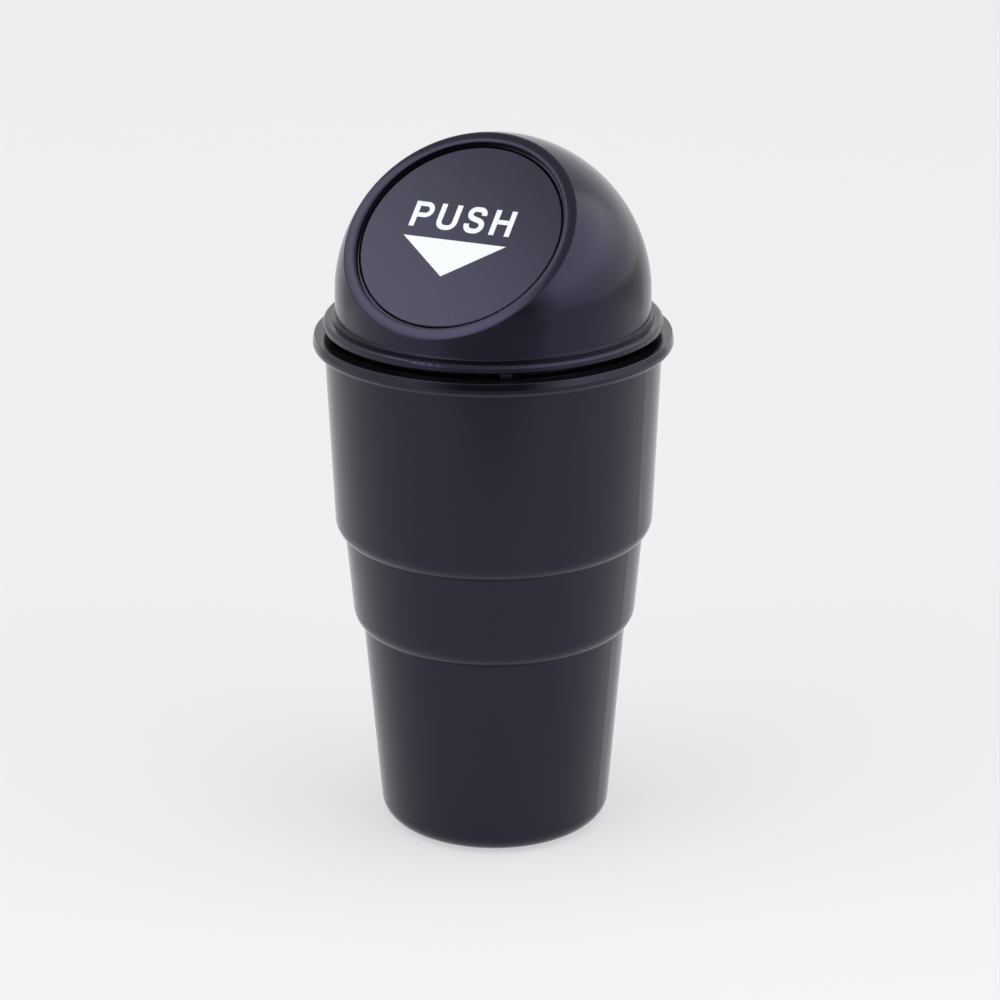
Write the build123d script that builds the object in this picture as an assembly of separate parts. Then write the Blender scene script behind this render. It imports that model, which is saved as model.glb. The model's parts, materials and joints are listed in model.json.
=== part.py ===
from build123d import *
import os
from math import asin, cos, radians, sin, sqrt, tan

# Car waste bin: a stepped cup, a push-in dome lid and a sprung push flap.
# Millimetres and degrees. +Z is up, the origin is the centre of the base, the flap faces -Y.

# Cup: three drafted walls, each stepping in from the one above
lip_radius = 46.0
lip_height = 133.75
lip_thickness = 3.4
lip_bevel_width = 0.4
lip_bevel_height = 1.65
lip_under_width = 0.5
lip_under_height = 0.85
lip_nose = 0.3
lip_rounding = 0.2
lip_root = 0.8
cup_wall = 1.4
cup_floor = 1.8
lip_reach = 2.77
upper_draft = 2.34
upper_ledge = 80.0
upper_step = 4.44
middle_draft = 5.03
lower_ledge = 55.0
lower_step = 4.35
lower_draft = 4.67
shoulder_height = 4.0
ledge_share = 0.6
base_rounding = 5.0
foot_width = 4.0
foot_recess = 1.0

# Lid: dome on a short straight skirt, flange above the lip, neck with a seal bead inside the cup
dome_inset = 3.03
dome_wall = 1.5
skirt_height = 6.29
lid_gap = 1.65
lid_flange_reach = 3.05
lid_flange_thickness = 2.25
lid_flange_rounding = 0.9
lid_flange_edge = 0.4
skirt_step_width = 0.75
skirt_step_height = 0.7
skirt_step_rounding = 0.2
neck_depth = 12.75
neck_clearance = 0.3
neck_lead = 1.0
seal_height = 2.5
seal_rounding = 0.5
seat_rib_count = 3
seat_rib_width = 3.0
seat_rib_bearing = 32.0
seat_reach = 2.4
seat_clearance = 0.1

# Flap hole: a low bead on the dome round a collar that the flap closes
flap_tilt = 43.0
flap_inset = 13.75
flap_gap = 0.35
flap_sink = 1.05
flap_thickness = 1.5
flap_rounding = 0.35
bead_width = 3.4
bead_crest = 1.9
bead_crown = 0.05
bead_slope = 9.0
bead_drop = 0.6
bead_bite = 6.0
bead_run = 0.5
bead_rounding = 0.35
bead_sweep = 6.5
bead_edge = 1.0
collar_depth = 2.5
collar_ledge = 0.5
collar_ledge_depth = 0.1
stop_overlap = 1.2
stop_thickness = 1.2
stop_clearance = 0.3
flap_skirt_wall = 1.4

# Hinge at the top of the flap, with a torsion spring on its pin
hinge_inset = 4.7
hinge_depth = 5.0
pin_radius = 1.0
pin_proud = 0.4
pin_chamfer = 0.2
pin_ear_fit = 0.02
pin_lug_fit = 0.06
lug_offset = 7.0
lug_thickness = 2.2
lug_radius = 2.4
lug_run = 6.0
flap_rib_thickness = 1.2
flap_rib_height = 1.4
ear_thickness = 2.4
ear_radius = 2.6
ear_gusset = 4.0
hinge_side_clearance = 0.3
hinge_relief = 2.0
spring_wire = 0.6
spring_turns = 5
spring_pitch = 0.75
spring_pin_clearance = 0.35
spring_seat_clearance = 0.1
flap_leg = 11.0
lid_leg = 8.0
spring_pad_width = 5.0
spring_pad_length = 3.0

# Radii that follow from the lip's
upper_radius = lip_radius - lip_reach
middle_radius = upper_radius - upper_step
lower_radius = middle_radius - lower_step
dome_radius = upper_radius - dome_inset
lid_flange_radius = dome_radius + lid_flange_reach
flap_radius = dome_radius - flap_inset

# Heights of the lid's parts
flange_underside = lip_height + lid_gap
flange_top = flange_underside + lid_flange_thickness
dome_height = flange_top + skirt_height

# Flap frame: X across, Y up the slope, Z out of the dome, from the dome's centre
flap_frame = Plane(
    origin=(0, 0, dome_height),
    x_dir=(1, 0, 0),
    z_dir=(0, -sin(radians(flap_tilt)), cos(radians(flap_tilt))),
)
hole_radius = flap_radius + flap_gap
bead_radius = hole_radius + bead_width
crease = sqrt(dome_radius**2 - bead_radius**2)
flap_face = crease - flap_sink
flap_back = flap_face - flap_thickness
collar_underside = flap_face - collar_depth
stop_top = collar_underside - stop_clearance
stop_underside = stop_top - stop_thickness
stop_radius = hole_radius + stop_overlap
hinge_up = flap_radius - hinge_inset
hinge_out = flap_face - hinge_depth
lug_side = lug_offset + lug_thickness / 2
ear_offset = lug_side + hinge_side_clearance + ear_thickness / 2
coil_radius = pin_radius + spring_pin_clearance + spring_wire / 2
coil_length = spring_turns * spring_pitch
leg_out = hinge_out + coil_radius
leg_seat = leg_out + spring_wire / 2 + spring_seat_clearance


def upper_wall(height):
    """Outer radius of the cup's upper wall at a height."""
    return upper_radius - (lip_height - height) * tan(radians(upper_draft))


def middle_wall(height):
    """Outer radius of the cup's middle wall at a height."""
    return middle_radius - (upper_ledge - height) * tan(radians(middle_draft))


def lower_wall(height):
    """Outer radius of the cup's lower wall at a height."""
    return lower_radius - (lower_ledge - height) * tan(radians(lower_draft))


def seal_radius(height):
    """Outer radius of the neck's seal bead, a clearance inside the cup's upper wall."""
    return upper_wall(height) - cup_wall - neck_clearance


def turned(outline):
    """Solid turned about Z from a closed outline of (radius, height)."""
    return revolve(make_face(Plane.XZ * outline), axis=Axis.Z)


def plate(face, offset, thickness):
    """Plate of a face drawn in the flap frame's (up, out), centred at an offset across the flap."""
    return Pos(offset, 0, 0) * extrude(Plane.YZ * face, thickness / 2, both=True)


def leaf(radius, edge):
    """Hinge leaf: the hull of a round end about the pin and a straight edge."""
    round_end = Pos(hinge_up, hinge_out) * Circle(radius)
    return make_hull(round_end.edges() + edge.edges())


def pin_bore(clearance, offset, thickness):
    """Cutter along the hinge axis through one leaf."""
    cutter = Cylinder(pin_radius + clearance, 2 * thickness, rotation=(0, 90, 0))
    return Pos(offset, hinge_up, hinge_out) * cutter


def shoulder(wall, draft, ledge, inset, foot):
    """Rounded shoulder: leaves a wall tangentially and ends sharply on the wall below."""
    start_height = ledge + shoulder_height
    start = (wall(start_height) - inset, start_height)
    return TangentArc(start, foot, tangent=(-sin(radians(draft)), -cos(radians(draft))))


def cup_form(inset, floor, corner, top):
    """Solid inside the cup's skin, moved in by an inset, from a floor height to a top height."""
    low_ledge = lower_ledge + inset * ledge_share
    high_ledge = upper_ledge + inset * ledge_share
    lower = FilletPolyline(
        (0, floor),
        (lower_wall(floor) - inset, floor),
        (lower_wall(low_ledge) - inset, low_ledge),
        radius=corner,
    )
    low_shoulder = shoulder(middle_wall, middle_draft, low_ledge, inset, lower @ 1)
    middle = Line(low_shoulder @ 0, (middle_wall(high_ledge) - inset, high_ledge))
    high_shoulder = shoulder(upper_wall, upper_draft, high_ledge, inset, middle @ 1)
    upper = Polyline(high_shoulder @ 0, (upper_wall(top) - inset, top), (0, top), (0, floor))
    return turned(lower + low_shoulder + middle + high_shoulder + upper)


def lip_ring():
    """Lip with a narrow nose: a steep face above it, a shorter slope below."""
    underside = lip_height - lip_thickness
    root = underside - 2 * lip_root
    inner = upper_wall(root) - cup_wall
    path = FilletPolyline(
        (inner, root),
        (upper_wall(root), root),
        (upper_wall(underside), underside),
        (lip_radius - lip_under_width, underside),
        (lip_radius, underside + lip_under_height),
        (lip_radius, lip_height - lip_bevel_height),
        (lip_radius - lip_bevel_width, lip_height),
        (inner, lip_height),
        radius=[0, lip_root, lip_rounding, lip_nose, lip_nose, lip_rounding],
    )
    return turned(path + Line(path @ 1, path @ 0))


def bin_cup():
    floor = foot_recess + cup_floor
    foot_inner = lower_wall(0) - base_rounding - foot_width
    body = cup_form(0, 0, base_rounding, lip_height) + lip_ring()
    body -= cup_form(cup_wall, floor, base_rounding - cup_wall, lip_height + 1)
    recess = Cylinder(foot_inner, foot_recess, align=(Align.CENTER, Align.CENTER, Align.MIN))
    return body - recess


def lid_shell():
    """Dome, skirt, step, flange and neck, open below."""
    neck_end = lip_height - neck_depth
    seal_low = neck_end + neck_lead
    seal_high = seal_low + seal_height
    step_radius = dome_radius + skirt_step_width
    step_top = flange_top + skirt_step_height
    neck = FilletPolyline(
        (0, neck_end),
        (dome_radius, neck_end),
        (seal_radius(seal_low), seal_low),
        (seal_radius(seal_high), seal_high),
        (dome_radius, seal_high + neck_lead),
        (dome_radius, flange_underside),
        radius=[0, seal_rounding, seal_rounding, seal_rounding],
    )
    side = FilletPolyline(
        neck @ 1,
        (lid_flange_radius, flange_underside),
        (lid_flange_radius, flange_top),
        (step_radius, flange_top),
        (step_radius, step_top),
        (dome_radius, step_top),
        (dome_radius, dome_height),
        radius=[lid_flange_edge, lid_flange_rounding, 0, skirt_step_rounding, skirt_step_rounding],
    )
    crown = CenterArc((0, dome_height), dome_radius, 0, 90)
    outer = turned(neck + side + crown + Line(crown @ 1, neck @ 0))

    inner_radius = dome_radius - dome_wall
    hollow = Polyline((0, neck_end), (inner_radius, neck_end), (inner_radius, dome_height))
    vault = CenterArc((0, dome_height), inner_radius, 0, 90)
    return outer - turned(hollow + vault + Line(vault @ 1, hollow @ 0))


def bead_and_collar():
    """Ring round the flap hole: a low crowned bead that runs into the dome, a collar at the flap's face."""
    ledge = flap_face - collar_ledge_depth
    ledge_radius = hole_radius + collar_ledge
    wall_middle = dome_radius - dome_wall / 2
    root_radius = sqrt(wall_middle**2 - collar_underside**2)

    # The bead's outer slope turns down in one rounded corner and runs a little way into the dome
    land = crease - bead_drop
    land_radius = sqrt(dome_radius**2 - land**2)
    dome_fall = tan(asin(land_radius / dome_radius) + radians(bead_bite))
    foot = land - dome_fall * bead_run
    bead_fall = tan(radians(bead_slope))
    crest_radius = hole_radius + bead_crest
    crest = crease + bead_crown
    drop = crest + bead_fall * crest_radius - land
    corner_radius = (dome_fall * land_radius - drop) / (dome_fall - bead_fall)
    bead = FilletPolyline(
        (ledge_radius, ledge),
        (ledge_radius, crease),
        (crest_radius, crest),
        (corner_radius, crest - bead_fall * (corner_radius - crest_radius)),
        (land_radius + bead_run, foot),
        radius=[bead_rounding, bead_sweep, bead_edge],
    )
    collar = Polyline(
        bead @ 1,
        (sqrt(wall_middle**2 - foot**2), foot),
        (root_radius, collar_underside),
        (hole_radius, collar_underside),
        (hole_radius, ledge),
        bead @ 0,
    )
    return turned(bead + collar)


def hinge_ears():
    """Two ears inside the dome that carry the pin, with gussets down the dome's wall."""
    wall_middle = dome_radius - dome_wall / 2
    root = Line(
        (wall_middle, hinge_out + ear_radius),
        (wall_middle, hinge_out - ear_radius - ear_gusset),
    )
    ears = [plate(leaf(ear_radius, root), side * ear_offset, ear_thickness) for side in (-1, 1)]
    bores = [pin_bore(pin_ear_fit, side * ear_offset, ear_thickness) for side in (-1, 1)]
    return (Part() + ears - bores) & Sphere(wall_middle)


def spring_rest():
    """Small block under the collar that the spring's lid leg pushes on."""
    outer_up = sqrt((dome_radius - dome_wall / 2) ** 2 - collar_underside**2)
    block = Box(
        spring_pad_width,
        outer_up - hole_radius,
        collar_underside + spring_wire - leg_seat,
        align=(Align.CENTER, Align.MIN, Align.MIN),
    )
    return Pos(-coil_length / 2, hole_radius, leg_seat) * block & Sphere(dome_radius - dome_wall / 2)


def seat_ribs():
    """Short ribs under the flange that stand on the cup's lip and keep the lid's gap."""
    start = dome_radius - dome_wall / 2
    foot = lip_height + seat_clearance
    rib = Box(
        seat_rib_width,
        seat_reach + dome_wall / 2,
        flange_underside + lid_flange_edge - foot,
        align=(Align.CENTER, Align.MAX, Align.MIN),
    )
    rib = Pos(0, -start, foot) * rib
    return [Rot(0, 0, seat_rib_bearing + 360 * i / seat_rib_count) * rib for i in range(seat_rib_count)]


def dome_lid():
    cap = Cylinder(bead_radius + bead_width, dome_radius, align=(Align.CENTER, Align.CENTER, Align.MIN))
    shell = lid_shell() - flap_frame * (Pos(0, 0, crease - bead_drop / 2) * cap)
    inside = bead_and_collar() + hinge_ears() + spring_rest()
    return shell + flap_frame * inside + seat_ribs()


def push_flap():
    skirt_inner = flap_radius - flap_skirt_wall
    face = FilletPolyline(
        (0, flap_face),
        (flap_radius, flap_face),
        (flap_radius, stop_top),
        radius=flap_rounding,
    )
    back = Polyline(
        face @ 1,
        (stop_radius, stop_top),
        (stop_radius, stop_underside),
        (skirt_inner, stop_underside),
        (skirt_inner, flap_back),
        (0, flap_back),
        (0, flap_face),
    )
    disc = turned(face + back)

    # Above the hinge only the face plate is left, so that the flap can swing
    relief_start = hinge_up - ear_radius - hinge_relief
    relief = Box(
        2 * stop_radius,
        2 * stop_radius,
        flap_back - stop_underside,
        align=(Align.CENTER, Align.MIN, Align.MAX),
    )
    disc -= Pos(0, relief_start, flap_back) * relief

    root = flap_back + flap_thickness / 2
    top_edge = Line((hinge_up + lug_radius, root), (hinge_up - lug_run, root))
    rib_end = relief_start - flap_radius
    rib = Polyline(
        (hinge_up, root),
        (hinge_up, flap_back - flap_rib_height),
        (rib_end, flap_back - flap_rib_height),
        (rib_end, root),
        close=True,
    )
    for side in (-1, 1):
        disc += plate(leaf(lug_radius, top_edge), side * lug_offset, lug_thickness)
        disc += plate(make_face(rib), side * lug_offset, flap_rib_thickness)
        disc -= pin_bore(pin_lug_fit, side * lug_offset, lug_thickness)

    pad = Box(
        spring_pad_width,
        spring_pad_length,
        root - leg_seat,
        align=(Align.CENTER, Align.MIN, Align.MIN),
    )
    disc += Pos(coil_length / 2, hinge_up - flap_leg, leg_seat) * pad
    return flap_frame * disc


def hinge_pin():
    length = 2 * (ear_offset + ear_thickness / 2 + pin_proud)
    pin = Cylinder(pin_radius, length, rotation=(0, 90, 0))
    pin = chamfer(pin.edges().filter_by(GeomType.CIRCLE), pin_chamfer)
    return flap_frame * (Pos(0, hinge_up, hinge_out) * pin)


def return_spring():
    """Torsion spring: a close coil on the pin with a straight leg each way."""
    coil_frame = Plane(origin=(-coil_length / 2, hinge_up, hinge_out), x_dir=(0, 0, 1), z_dir=(1, 0, 0))
    coil_line = Helix(spring_pitch, coil_length, coil_radius)
    section = Plane(coil_line @ 0, z_dir=coil_line % 0) * Circle(spring_wire / 2)
    coil = sweep(section, path=coil_line, is_frenet=True)
    lid_end = Plane(coil_line @ 0, z_dir=-(coil_line % 0)) * Circle(spring_wire / 2)
    flap_end = Plane(coil_line @ 1, z_dir=coil_line % 1) * Circle(spring_wire / 2)
    wire = coil + extrude(lid_end, lid_leg) + extrude(flap_end, flap_leg)
    return flap_frame * (coil_frame * wire)


os.makedirs("parts", exist_ok=True)
for make in (bin_cup, dome_lid, push_flap, hinge_pin, return_spring):
    export_step(make(), f"parts/{make.__name__}.step")
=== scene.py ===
import json
from math import atan2, cos, pi, radians, sin

import bmesh
import bpy
from mathutils import Matrix, Vector


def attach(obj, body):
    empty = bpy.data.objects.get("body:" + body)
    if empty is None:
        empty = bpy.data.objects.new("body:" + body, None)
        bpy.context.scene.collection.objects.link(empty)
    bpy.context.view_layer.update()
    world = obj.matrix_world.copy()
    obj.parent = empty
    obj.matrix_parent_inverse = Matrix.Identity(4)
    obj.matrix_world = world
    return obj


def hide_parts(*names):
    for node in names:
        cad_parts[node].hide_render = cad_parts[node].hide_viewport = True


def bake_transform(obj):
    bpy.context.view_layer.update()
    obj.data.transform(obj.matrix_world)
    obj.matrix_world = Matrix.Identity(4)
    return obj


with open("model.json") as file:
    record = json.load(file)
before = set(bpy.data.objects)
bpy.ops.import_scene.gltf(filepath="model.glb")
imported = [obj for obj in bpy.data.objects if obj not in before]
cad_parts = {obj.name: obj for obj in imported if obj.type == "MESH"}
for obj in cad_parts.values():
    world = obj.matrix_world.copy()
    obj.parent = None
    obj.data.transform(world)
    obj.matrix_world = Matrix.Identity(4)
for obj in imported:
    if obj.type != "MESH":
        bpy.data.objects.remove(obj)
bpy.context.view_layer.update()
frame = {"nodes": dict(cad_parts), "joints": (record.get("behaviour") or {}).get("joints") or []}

MM = 0.001

# The camera's place and turn, and its lens as focal length over picture width
camera_bearing = radians(27.83)
camera_reach = 744.34 * MM
camera_height = 360.52 * MM
camera_pan = radians(-0.1215)
camera_drop = radians(20.15)
camera_roll = radians(-0.18)
lens_ratio = 3.0480
sensor_width = 36.0

# The flap's plane leans back about X, and its front face is the outermost one along its normal
flap_tilt = radians(43)
flap_axes = Matrix.Rotation(flap_tilt, 4, "X")
flap_normal = flap_axes.to_3x3() @ Vector((0, 0, 1))
flap_upslope = flap_axes.to_3x3() @ Vector((0, 1, 0))
face_slack = 0.05 * MM

# The radius in metres of the slight dome that the flap's shine shows
face_crown = 0.62

# The white print on the flap, measured from the flap's centre
ink_thickness = 0.03 * MM
print_turn = radians(0.9)
arrow_corners = ((-15.26, -1.8), (13.32, -1.43), (-0.80, -12.12))
arrow_blank = 10 * MM
same_point = 0.001 * MM

# The word's pen strokes in millimetres and degrees:
# width, start, heading, then lengths to go straight and arcs of (radius, turn), which are drawn in steps
arc_step = 9
word_strokes = (
    (1.44, (-14.31, 1.22), 90, (7.38,)),
    (1.32, (-13.55, 7.91), 0, (1.74, (1.62, -180), 1.74)),
    (1.40, (-7.15, 8.60), -90, (5.0, (1.81, 90), 0.69, (1.81, 90), 5.0)),
    (1.42, (4.38, 6.43), 90, (0.27, (1.34, 90), 1.03, (1.34, 90), (1.43, 74.5), 1.86, (1.50, -74.5),
                              (1.65, -90), 0.75, (1.70, -90), 0.26)),
    (1.42, (7.97, 1.22), 90, (7.38,)),
    (1.40, (12.27, 1.22), 90, (7.38,)),
    (1.30, (8.73, 5.15), 0, (2.78,)),
)

# The return spring on the hinge pin
wire_radius = 0.3 * MM
wire_sides = 16
wire_end = 1.2 * wire_radius
coil_radius = 1.65 * MM
coil_pitch = 0.75 * MM
coil_turns = 5
coil_steps = 40
lid_leg = 8 * MM
flap_leg = 11 * MM
smooth_angle = radians(40)

# The black plastic's shine, as (index, tint): cool where seen straight on, white at a glance
cup_shine = (1.50, (0.647, 0.640, 0.94, 1.0))
lid_shine = (1.50, (0.615, 0.575, 0.97, 1.0))
flap_shine = (1.535, (0.645, 0.630, 1.0, 1.0))

# The black plastic's unevenness: flow marks, moulded grain and dust
flow_size = 18 * MM
flow_tint = 0.3
flow_gloss = 0.05
grain_gloss = 0.06
dust_size = 0.13 * MM
dust_gloss = 0.3
dust_colour = (0.16, 0.15, 0.17, 1.0)

# The white ink, the floor's paper and the steel, each from its darker to its lighter tint
ink_tints = ((0.635, 0.665, 0.67, 1.0), (0.665, 0.685, 0.69, 1.0))
paper_tints = ((0.54, 0.54, 0.55, 1.0), (0.56, 0.56, 0.57, 1.0))
steel_spread = (0.8, 1.1)
pin_grey = (0.55, 0.55, 0.56)
spring_grey = (0.5, 0.5, 0.52)
along_pin = (0.05, 1, 1)
all_ways = (1, 1, 1)
no_light = (0.0, 0.0, 0.0, 1.0)

# The walls: (height, level) stops, where height is the sine of the angle above the floor,
# and how much brighter they get from left to right
wall_stops = ((0.10, 0.95), (0.75, 0.80), (0.95, 0.74))
wall_slope = 0.3

# The tall lights at the sides: the way to each, and its (height, level) stops
# They lean towards the camera, and they end where the ceiling begins
side_plan = {
    "left": (-1, ((0.0, 0.3), (0.48, 0.44), (0.80, 2.65))),
    "right": (1, ((0.0, 0.0), (0.13, 0.30), (0.20, 0.55), (0.34, 1.2))),
}
side_lean = 0.15
side_edges = (0.40, 0.90)
side_tops = (0.40, 0.54)
side_tops_lean = 0.3

# Keeps the way to the side finite for a ray that goes straight up
just_over_one = 1.0001

# Behind the camera the walls are dark low down and a little brighter above: 0.5 leaves them as they are
front_stops = ((0.24, 0.03), (0.44, 0.62))
front_edges = (0.60, 0.95)

# The lamp overhead: bearing and height angle in degrees, distance, size and brightness
lamp_aim = Vector((0, 0, 150 * MM))
lamp_plan = {
    "softbox_top": (0, 89, 1.6, (1.2, 1.2), 2.0),
}

# The floor, the white it glows with, painted brighter towards the camera, and where it is painted dimmer
# in the plastic's shine
floor_radius = 4
floor_drop = 0.2 * MM
floor_sides = 160
floor_glow_share = 0.55
floor_glow = (0.90, 0.895, 0.915, 1)
floor_painted_glow_near = (0.99, 0.985, 1.02, 1)
floor_painted_glow_edges = (-0.12, 0.12)
floor_front_edges = (0.23, 0.42)
floor_front_spread = 1.2
floor_front_dim = 0.5
floor_side_edges = (-0.02, 0.06)
floor_side_spread = 0.9
floor_side_dim = 0.28
floor_back_edges = (0.2, 0.4)


class Wire:
    """A node's output, or a mere start in a node tree. Arithmetic on it adds Math nodes to that tree."""

    def __init__(self, tree, socket=None):
        self.tree = tree
        self.socket = socket

    def node(self, kind, settings=None, output=0, **inputs):
        """Adds a node: its settings, then the values or wires of its sockets (spaces written as _)."""
        made = self.tree.nodes.new(kind)
        for name, value in (settings or {}).items():
            if name == "stops":
                set_stops(made.color_ramp, value)
            else:
                setattr(made, name, value)
        for name, value in inputs.items():
            socket = find_socket(made, name)
            if isinstance(value, Wire):
                self.tree.links.new(value.socket, socket)
            else:
                socket.default_value = value
        return Wire(self.tree, made.outputs[output])

    def sum(self, operation, first, second):
        return self.node("ShaderNodeMath", {"operation": operation}, slot_0=first, slot_1=second)

    def __add__(self, other):
        return self.sum("ADD", self, other)

    def __radd__(self, other):
        return self.sum("ADD", other, self)

    def __sub__(self, other):
        return self.sum("SUBTRACT", self, other)

    def __rsub__(self, other):
        return self.sum("SUBTRACT", other, self)

    def __mul__(self, other):
        return self.sum("MULTIPLY", self, other)

    def __rmul__(self, other):
        return self.sum("MULTIPLY", other, self)

    def __pow__(self, other):
        return self.sum("POWER", self, other)

    def __lt__(self, other):
        return self.sum("LESS_THAN", self, other)


def find_socket(node, name):
    """A node's input by its name, or by its number where several share one name."""
    if name.startswith("slot_"):
        return node.inputs[int(name[5:])]
    return node.inputs[name.replace("_", " ")]


def set_stops(ramp, stops):
    while len(ramp.elements) < len(stops):
        ramp.elements.new(0.5)
    for element, (place, colour) in zip(ramp.elements, stops):
        element.position = place
        element.color = colour


def new_material(name):
    """An empty node material, with a wire to start from and its Principled shader."""
    material = bpy.data.materials.new(name)
    material.use_nodes = True
    tree = material.node_tree
    shader = tree.nodes["Principled BSDF"]
    return material, Wire(tree), shader


def feed(shader, **inputs):
    """Sets a shader's sockets to values, or links them to wires."""
    for name, value in inputs.items():
        socket = find_socket(shader, name)
        if isinstance(value, Wire):
            value.tree.links.new(value.socket, socket)
        else:
            socket.default_value = value


def noise(start, place, size, detail=2.0, roughness=0.5):
    """Soft noise from 0 to 1, with features of about the given size in metres."""
    return start.node(
        "ShaderNodeTexNoise", {"noise_dimensions": "3D"}, Vector=place, Scale=1 / size, Detail=detail,
        Roughness=roughness)


def dust(start, place, spacing, speck):
    """1 at sparse specks of dust, 0 elsewhere."""
    cells = start.node(
        "ShaderNodeTexVoronoi", {"feature": "F1"}, "Distance", Vector=place, Scale=1 / spacing)
    wobble = noise(start, place, 0.5 * speck) * (speck / spacing)
    return (cells + wobble) < 1.5 * speck / spacing


def grey_ramp(start, place, stops):
    """A grey that goes through stops of (place, level)."""
    stops = [(at, (level, level, level, 1.0)) for at, level in stops]
    return start.node("ShaderNodeValToRGB", {"stops": stops}, "Color", Fac=place)


def soft_step(start, place, edges):
    """0 below the first edge, 1 above the second, eased between."""
    return start.node(
        "ShaderNodeMapRange", {"interpolation_type": "SMOOTHSTEP"}, "Result", slot_0=place,
        slot_1=edges[0], slot_2=edges[1])


def mixed(start, factor, first, second):
    """A colour between two, by a wire from 0 to 1."""
    return start.node(
        "ShaderNodeMix", {"data_type": "RGBA"}, 2, slot_0=factor, slot_6=first, slot_7=second)


def black_plastic(name, colour, shine, gloss, grain, ripple, speck_gap, crown=None):
    """A black moulding: a near-black body, moulded grain, faint flow ripples and a little dust.

    Grain and ripple are each a (size, height).
    A crown is the (middle, radius) of a face that shines as if slightly domed.
    """
    material, start, shader = new_material(name)
    place = start.node("ShaderNodeTexCoord", None, "Object")
    flow = noise(start, place, flow_size, 3.0)
    fine = noise(start, place, grain[0], 3.0, 0.6)
    wave = noise(start, place, ripple[0], 1.0)
    specks = dust(start, place, speck_gap, dust_size)
    deep = tuple((1 - flow_tint) * c for c in colour) + (1.0,)
    pale = tuple((1 + flow_tint) * c for c in colour) + (1.0,)
    body = mixed(start, flow, deep, pale)
    tint = mixed(start, specks, body, dust_colour)
    height = fine * grain[1] + wave * ripple[1]
    if crown:
        middle, radius = crown
        away = start.node(
            "ShaderNodeVectorMath", {"operation": "DISTANCE"}, "Value", slot_0=place, slot_1=middle)
        height = height - away * away * (0.5 / radius)
    bump = start.node("ShaderNodeBump", None, Height=height, Strength=1.0, Distance=1.0)
    rough = gloss + flow_gloss * (flow - 0.5) + grain_gloss * (fine - 0.5) + dust_gloss * specks
    index, sheen = shine
    feed(shader, Base_Color=tint, Roughness=rough, Normal=bump, IOR=index, Specular_Tint=sheen)
    return material


def cup_black():
    return black_plastic(
        "cup_black", colour=(0.0034, 0.0032, 0.0046), shine=cup_shine, gloss=0.15,
        grain=(0.22 * MM, 0.0010 * MM), ripple=(6 * MM, 0.006 * MM), speck_gap=10 * MM)


def lid_black():
    return black_plastic(
        "lid_black", colour=(0.0034, 0.0032, 0.0046), shine=lid_shine, gloss=0.15,
        grain=(0.3 * MM, 0.0005 * MM), ripple=(7 * MM, 0.008 * MM), speck_gap=9 * MM)


def flap_black():
    return black_plastic(
        "flap_black", colour=(0.0040, 0.0038, 0.0055), shine=flap_shine, gloss=0.27,
        grain=(0.16 * MM, 0.0022 * MM), ripple=(5 * MM, 0.004 * MM), speck_gap=12 * MM,
        crown=(flap_face().translation, face_crown))


def white_ink():
    """Screen-printed white, very slightly cool, with the thin mottling of one ink pass."""
    material, start, shader = new_material("white_ink")
    place = start.node("ShaderNodeTexCoord", None, "Object")
    mottle = noise(start, place, 0.6 * MM, 2.0)
    tint = mixed(start, mottle, *ink_tints)
    bump = start.node("ShaderNodeBump", None, Height=mottle * (0.002 * MM), Strength=1.0, Distance=1.0)
    feed(shader, Base_Color=tint, Roughness=0.35 + 0.1 * mottle, Normal=bump, IOR=1.45)
    return material


def drawn_steel(name, grey, squeeze):
    """Bright drawn wire: fine noise, drawn out into lines where the squeeze along an axis is below 1."""
    material, start, shader = new_material(name)
    place = start.node("ShaderNodeTexCoord", None, "Object")
    lines = start.node("ShaderNodeMapping", {"vector_type": "POINT"}, Vector=place, Scale=squeeze)
    streak = noise(start, lines, 0.12 * MM, 3.0)
    dull, bright = (tuple(share * c for c in grey) + (1.0,) for share in steel_spread)
    tint = mixed(start, streak, dull, bright)
    bump = start.node("ShaderNodeBump", None, Height=streak * (0.003 * MM), Strength=1.0, Distance=1.0)
    feed(shader, Base_Color=tint, Metallic=1.0, Roughness=0.24 + 0.16 * streak, Normal=bump)
    return material


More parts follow.
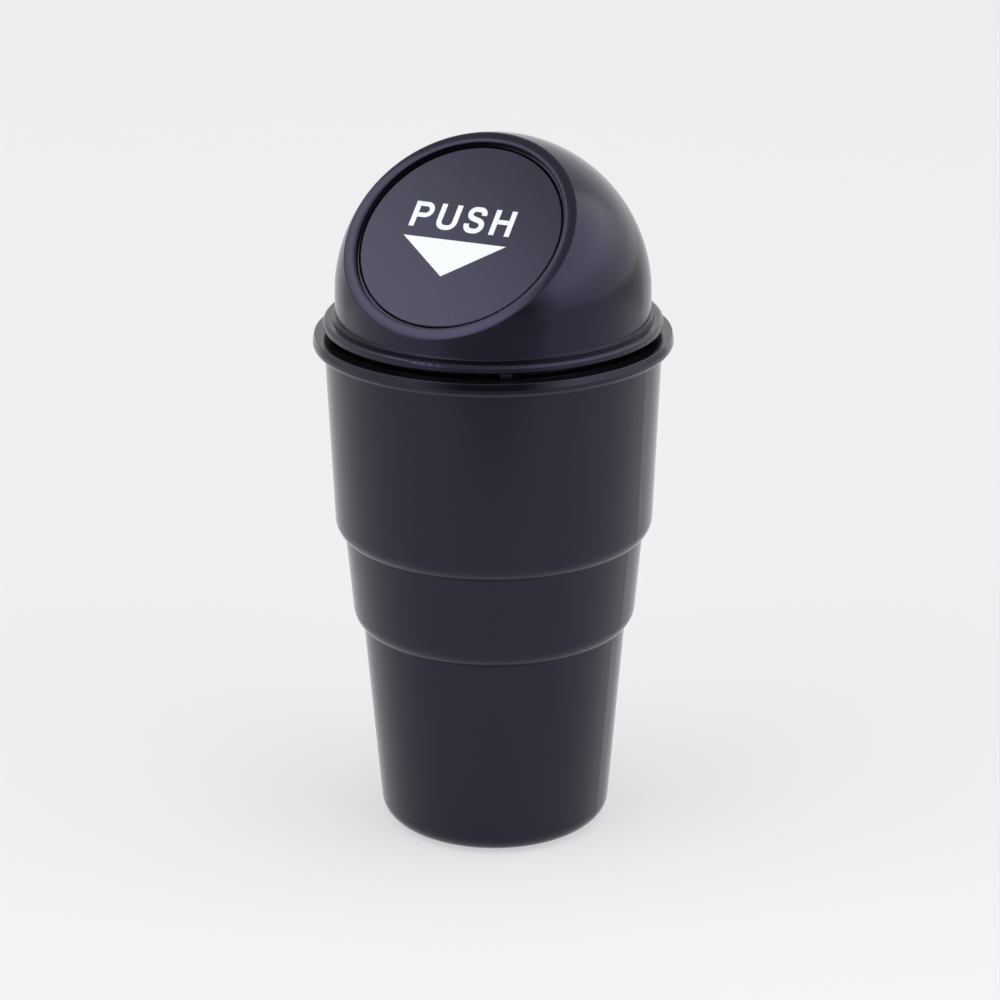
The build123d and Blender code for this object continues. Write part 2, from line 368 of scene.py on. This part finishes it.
def floor_paper():
    """Matt white studio paper. What the camera sees of it is part lit paper and part self-lit white,
    painted brighter towards the camera.

    In the plastic's shine it is painted dimmer in front, and at both sides of what is behind the bin.
    """
    material, start, shader = new_material("floor_paper")
    place = start.node("ShaderNodeTexCoord", None, "Object")
    seen = start.node("ShaderNodeLightPath", None, "Is Camera Ray")
    shiny = start.node("ShaderNodeLightPath", None, "Is Glossy Ray")
    through = start.node("ShaderNodeLightPath", None, "Is Transmission Ray")
    cloud = noise(start, place, 0.7, 2.0)
    east = start.node("ShaderNodeSeparateXYZ", None, "X", Vector=place)
    north = start.node("ShaderNodeSeparateXYZ", None, "Y", Vector=place)
    across = east * cos(camera_bearing) + north * sin(camera_bearing)
    toward = east * sin(camera_bearing) - north * cos(camera_bearing)
    front = soft_step(start, toward - floor_front_spread * across * across, floor_front_edges)
    aside = soft_step(start, across * across - floor_side_spread * toward * toward, floor_side_edges)
    behind = soft_step(start, -1 * toward, floor_back_edges)
    # Painted shade in reflections only: the floor is darkened in front, and at the sides behind the bin,
    # for glossy rays
    dim = shiny * (floor_front_dim * front + floor_side_dim * aside * behind)
    tint = mixed(start, dim, mixed(start, cloud, *paper_tints), no_light)
    feed(shader, Base_Color=tint, Roughness=0.85 + 0.05 * cloud, IOR=1.2)
    # Painted light: the self-lit white is made brighter on the camera's side of the floor
    near = soft_step(start, toward, floor_painted_glow_edges)
    glow = mixed(start, dim, mixed(start, near, floor_glow, floor_painted_glow_near), no_light)
    white = start.node("ShaderNodeEmission", None, Color=glow, Strength=1.0)
    share = floor_glow_share * (seen + shiny + through)
    paper = Wire(material.node_tree, shader.outputs["BSDF"])
    both = start.node("ShaderNodeMixShader", None, slot_0=share, slot_1=paper, slot_2=white)
    feed(material.node_tree.nodes["Material Output"], Surface=both)
    return material


def start_clear():
    """Nothing selected, so that the next operators act on the new piece alone."""
    if bpy.context.object and bpy.context.object.mode != "OBJECT":
        bpy.ops.object.mode_set(mode="OBJECT")
    bpy.ops.object.select_all(action="DESELECT")


def name_piece(name):
    piece = bpy.context.object
    piece.name = name
    piece.data.name = name
    return piece


def pick(piece, chosen):
    """In edit mode, selects only the points that the test accepts."""
    bpy.ops.mesh.select_mode(type="VERT")
    bpy.ops.mesh.select_all(action="DESELECT")
    mesh = bmesh.from_edit_mesh(piece.data)
    for point in mesh.verts:
        if chosen(point):
            point.select_set(True)
    bmesh.update_edit_mesh(piece.data)


def seat(piece, place):
    """Puts the piece's place into its mesh, and leaves its object at the origin, unturned."""
    start_clear()
    piece.matrix_world = place
    piece.select_set(True)
    bpy.context.view_layer.objects.active = piece
    bpy.ops.object.transform_apply(location=True, rotation=True, scale=True)


def flap_face():
    """The flap's frame in the part: X across, Y up the slope, Z out of the middle of its front face."""
    points = [v.co.copy() for v in frame["nodes"]["push_flap"].data.vertices]
    out = max(p.dot(flap_normal) for p in points)
    on_face = [p.dot(flap_upslope) for p in points if out - p.dot(flap_normal) < face_slack]
    middle = (min(on_face) + max(on_face)) / 2
    return Matrix.Translation(flap_normal * out + flap_upslope * middle) @ flap_axes


def pen_stroke(width, start, heading, moves):
    """A flat stroke of even width: the pen's edge is drawn out along straights and spun round arcs."""
    start_clear()
    bpy.ops.mesh.primitive_plane_add(size=width * MM)
    stroke = bpy.context.object
    bpy.ops.object.mode_set(mode="EDIT")
    pick(stroke, lambda v: v.co.y > 0)
    bpy.ops.mesh.delete(type="VERT")
    bpy.ops.mesh.select_all(action="SELECT")
    bpy.ops.transform.translate(value=(0, width * MM / 2, 0))
    place = Vector((0, 0, 0))
    way = pi / 2
    for move in moves:
        if isinstance(move, tuple):
            radius, turn = move[0] * MM, radians(move[1])
            side = way + pi / 2 if turn > 0 else way - pi / 2
            centre = place + radius * Vector((cos(side), sin(side), 0))
            steps = max(2, round(abs(move[1]) / arc_step))
            bpy.ops.mesh.spin(steps=steps, angle=-turn, center=centre, axis=(0, 0, 1))
            place = centre + Matrix.Rotation(turn, 3, "Z") @ (place - centre)
            way += turn
        else:
            step = move * MM * Vector((cos(way), sin(way), 0))
            bpy.ops.mesh.extrude_region_move(TRANSFORM_OT_translate={"value": step})
            place += step
    bpy.ops.object.mode_set(mode="OBJECT")
    spot = Vector((start[0], start[1], 0)) * MM
    seat(stroke, Matrix.Translation(spot) @ Matrix.Rotation(radians(heading) - pi / 2, 4, "Z"))
    return stroke


def thicken(piece):
    """Gives flat print its ink thickness."""
    start_clear()
    piece.select_set(True)
    bpy.context.view_layer.objects.active = piece
    bpy.ops.object.mode_set(mode="EDIT")
    bpy.ops.mesh.select_all(action="SELECT")
    bpy.ops.mesh.remove_doubles(threshold=same_point)
    bpy.ops.mesh.extrude_region_move(TRANSFORM_OT_translate={"value": (0, 0, ink_thickness)})
    bpy.ops.mesh.select_all(action="SELECT")
    bpy.ops.mesh.normals_make_consistent(inside=False)
    bpy.ops.object.mode_set(mode="OBJECT")


def print_word():
    """The operating word over the arrow, in plain pen letters."""
    strokes = [pen_stroke(*stroke) for stroke in word_strokes]
    start_clear()
    for stroke in strokes:
        stroke.select_set(True)
    bpy.context.view_layer.objects.active = strokes[0]
    bpy.ops.object.join()
    piece = name_piece("print_word")
    thicken(piece)
    seat(piece, flap_face() @ Matrix.Rotation(print_turn, 4, "Z"))
    return piece


def print_arrow():
    """The plain triangle that points to where the flap is pushed."""
    start_clear()
    bpy.ops.mesh.primitive_circle_add(
        vertices=len(arrow_corners), radius=arrow_blank, fill_type="NGON")
    piece = name_piece("print_arrow")
    bpy.ops.object.mode_set(mode="EDIT")
    corners = [Vector((x, y, 0)) * MM for x, y in arrow_corners]
    middle = sum(corners, Vector((0, 0, 0))) / len(corners)
    corners.sort(key=lambda c: atan2(c.y - middle.y, c.x - middle.x))
    places = sorted((v.co.copy() for v in piece.data.vertices), key=lambda c: atan2(c.y, c.x))
    for place, corner in zip(places, corners):
        pick(piece, lambda v: (v.co - place).length < same_point)
        bpy.ops.transform.translate(value=corner - place)
    bpy.ops.object.mode_set(mode="OBJECT")
    thicken(piece)
    seat(piece, flap_face())
    return piece


def hinge_middle():
    """The middle of the flap's hinge, from the part's own list of joints."""
    return Vector(next(j for j in frame["joints"] if j["name"] == "flap_hinge")["pos_m"])


def return_spring():
    """The torsion spring on the pin: a wire ring screwed along X, with a straight leg at each end."""
    half_coil = coil_pitch * coil_turns / 2
    lead = coil_pitch / (2 * pi * coil_radius)
    start_clear()
    bpy.ops.mesh.primitive_circle_add(
        vertices=wire_sides, radius=wire_radius, fill_type="NOTHING", rotation=(pi / 2, 0, 0),
        location=(-half_coil, 0, coil_radius))
    piece = name_piece("spring_wire")
    bpy.ops.object.transform_apply(location=True, rotation=True, scale=True)
    screw = piece.modifiers.new("coil", "SCREW")
    screw.axis = "X"
    screw.angle = 2 * pi
    screw.screw_offset = coil_pitch
    screw.iterations = coil_turns
    screw.steps = coil_steps
    screw.render_steps = coil_steps
    screw.use_merge_vertices = False
    bpy.ops.object.modifier_apply(modifier=screw.name)
    bpy.ops.object.mode_set(mode="EDIT")
    for side, leg in ((-1, lid_leg), (1, flap_leg)):
        end = Vector((side * half_coil, 0, coil_radius))
        pick(piece, lambda v: v.is_boundary and (v.co - end).length < wire_end)
        bpy.ops.mesh.extrude_region_move(
            TRANSFORM_OT_translate={"value": (side * leg * lead, -side * leg, 0)})
        bpy.ops.mesh.edge_face_add()
    bpy.ops.mesh.select_all(action="SELECT")
    bpy.ops.mesh.normals_make_consistent(inside=False)
    bpy.ops.object.mode_set(mode="OBJECT")
    bpy.ops.object.shade_smooth_by_angle(angle=smooth_angle)
    seat(piece, Matrix.Translation(hinge_middle()) @ flap_axes)
    return piece


def studio_floor():
    """A wide round pale floor."""
    start_clear()
    bpy.ops.mesh.primitive_circle_add(
        vertices=floor_sides, radius=floor_radius, fill_type="NGON", location=(0, 0, -floor_drop))
    floor = name_piece("studio_floor")
    bpy.ops.object.transform_apply(location=True, rotation=True, scale=True)
    return floor


def softbox(name, bearing, rise, reach, size, glow):
    """A white lamp, placed by its bearing from the camera's side and its height angle."""
    start_clear()
    turn = camera_bearing + radians(bearing)
    flat = cos(radians(rise))
    away = Vector((sin(turn) * flat, -cos(turn) * flat, sin(radians(rise))))
    bpy.ops.object.light_add(type="AREA", location=lamp_aim + reach * away)
    lamp = name_piece(name)
    lamp.data.shape = "RECTANGLE"
    lamp.data.size = size[0]
    lamp.data.size_y = size[1]
    lamp.data.energy = glow * pi * size[0] * size[1]
    lamp.rotation_euler = away.to_track_quat("Z", "Y").to_euler()
    lamp.visible_glossy = False
    return lamp


def photo_camera():
    """The camera at the photo's place, with the photo's lens."""
    start_clear()
    bpy.ops.object.camera_add()
    camera = bpy.context.object
    camera.data.sensor_width = sensor_width
    camera.data.lens = lens_ratio * sensor_width
    place = (camera_reach * sin(camera_bearing), -camera_reach * cos(camera_bearing), camera_height)
    turn = (
        Matrix.Rotation(camera_bearing + camera_pan, 4, "Z")
        @ Matrix.Rotation(pi / 2 - camera_drop, 4, "X")
        @ Matrix.Rotation(camera_roll, 4, "Z"))
    camera.matrix_world = Matrix.Translation(place) @ turn
    bpy.context.scene.camera = camera


def studio_world():
    """Pale walls, a dimmer ceiling, tall lights at the sides and a dark zone behind the camera."""
    world = bpy.data.worlds.new("studio")
    world.use_nodes = True
    start = Wire(world.node_tree)
    ray = start.node("ShaderNodeTexCoord", None, "Generated")
    east = start.node("ShaderNodeSeparateXYZ", None, "X", Vector=ray)
    north = start.node("ShaderNodeSeparateXYZ", None, "Y", Vector=ray)
    rise = start.node("ShaderNodeSeparateXYZ", None, "Z", Vector=ray)
    across = east * cos(camera_bearing) + north * sin(camera_bearing)
    toward = east * sin(camera_bearing) - north * cos(camera_bearing)
    aside = across * (just_over_one - rise * rise) ** -0.5
    lean = side_lean * toward
    sides = 0
    for way, stops in side_plan.values():
        spread = soft_step(start, lean + way * aside, side_edges)
        spread = spread * soft_step(start, side_tops_lean * toward + way * across, side_tops)
        sides = sides + spread * grey_ramp(start, rise + lean, stops)
    front = soft_step(start, toward, front_edges)
    shade = 1 + front * (2 * grey_ramp(start, rise, front_stops) - 1)
    walls = grey_ramp(start, rise, wall_stops) * (1 + wall_slope * across)
    light = walls * shade + sides
    feed(world.node_tree.nodes["Background"], Color=light)
    bpy.context.scene.world = world


def dress(piece, material):
    piece.data.materials.clear()
    piece.data.materials.append(material)


# Camera, floor and light
photo_camera()
floor = studio_floor()
dress(floor, floor_paper())
studio_world()
for name, plan in lamp_plan.items():
    softbox(name, *plan)

# The moulded pieces and the pin keep their shape and get their finish
finishes = {
    "bin_cup": cup_black(),
    "dome_lid": lid_black(),
    "push_flap": flap_black(),
    "hinge_pin": drawn_steel("pin_steel", pin_grey, along_pin),
}
for node, finish in finishes.items():
    dress(frame["nodes"][node], finish)

# The print rides on the flap
ink = white_ink()
for piece in (print_word(), print_arrow()):
    dress(piece, ink)
    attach(piece, "flap")

# The spring sits on the hinge pin between the lid and the flap, in place of the part's own spring
spring = return_spring()
dress(spring, drawn_steel("spring_steel", spring_grey, all_ways))
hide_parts("return_spring")
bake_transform(spring)

bpy.context.scene.view_settings.view_transform = "Standard"
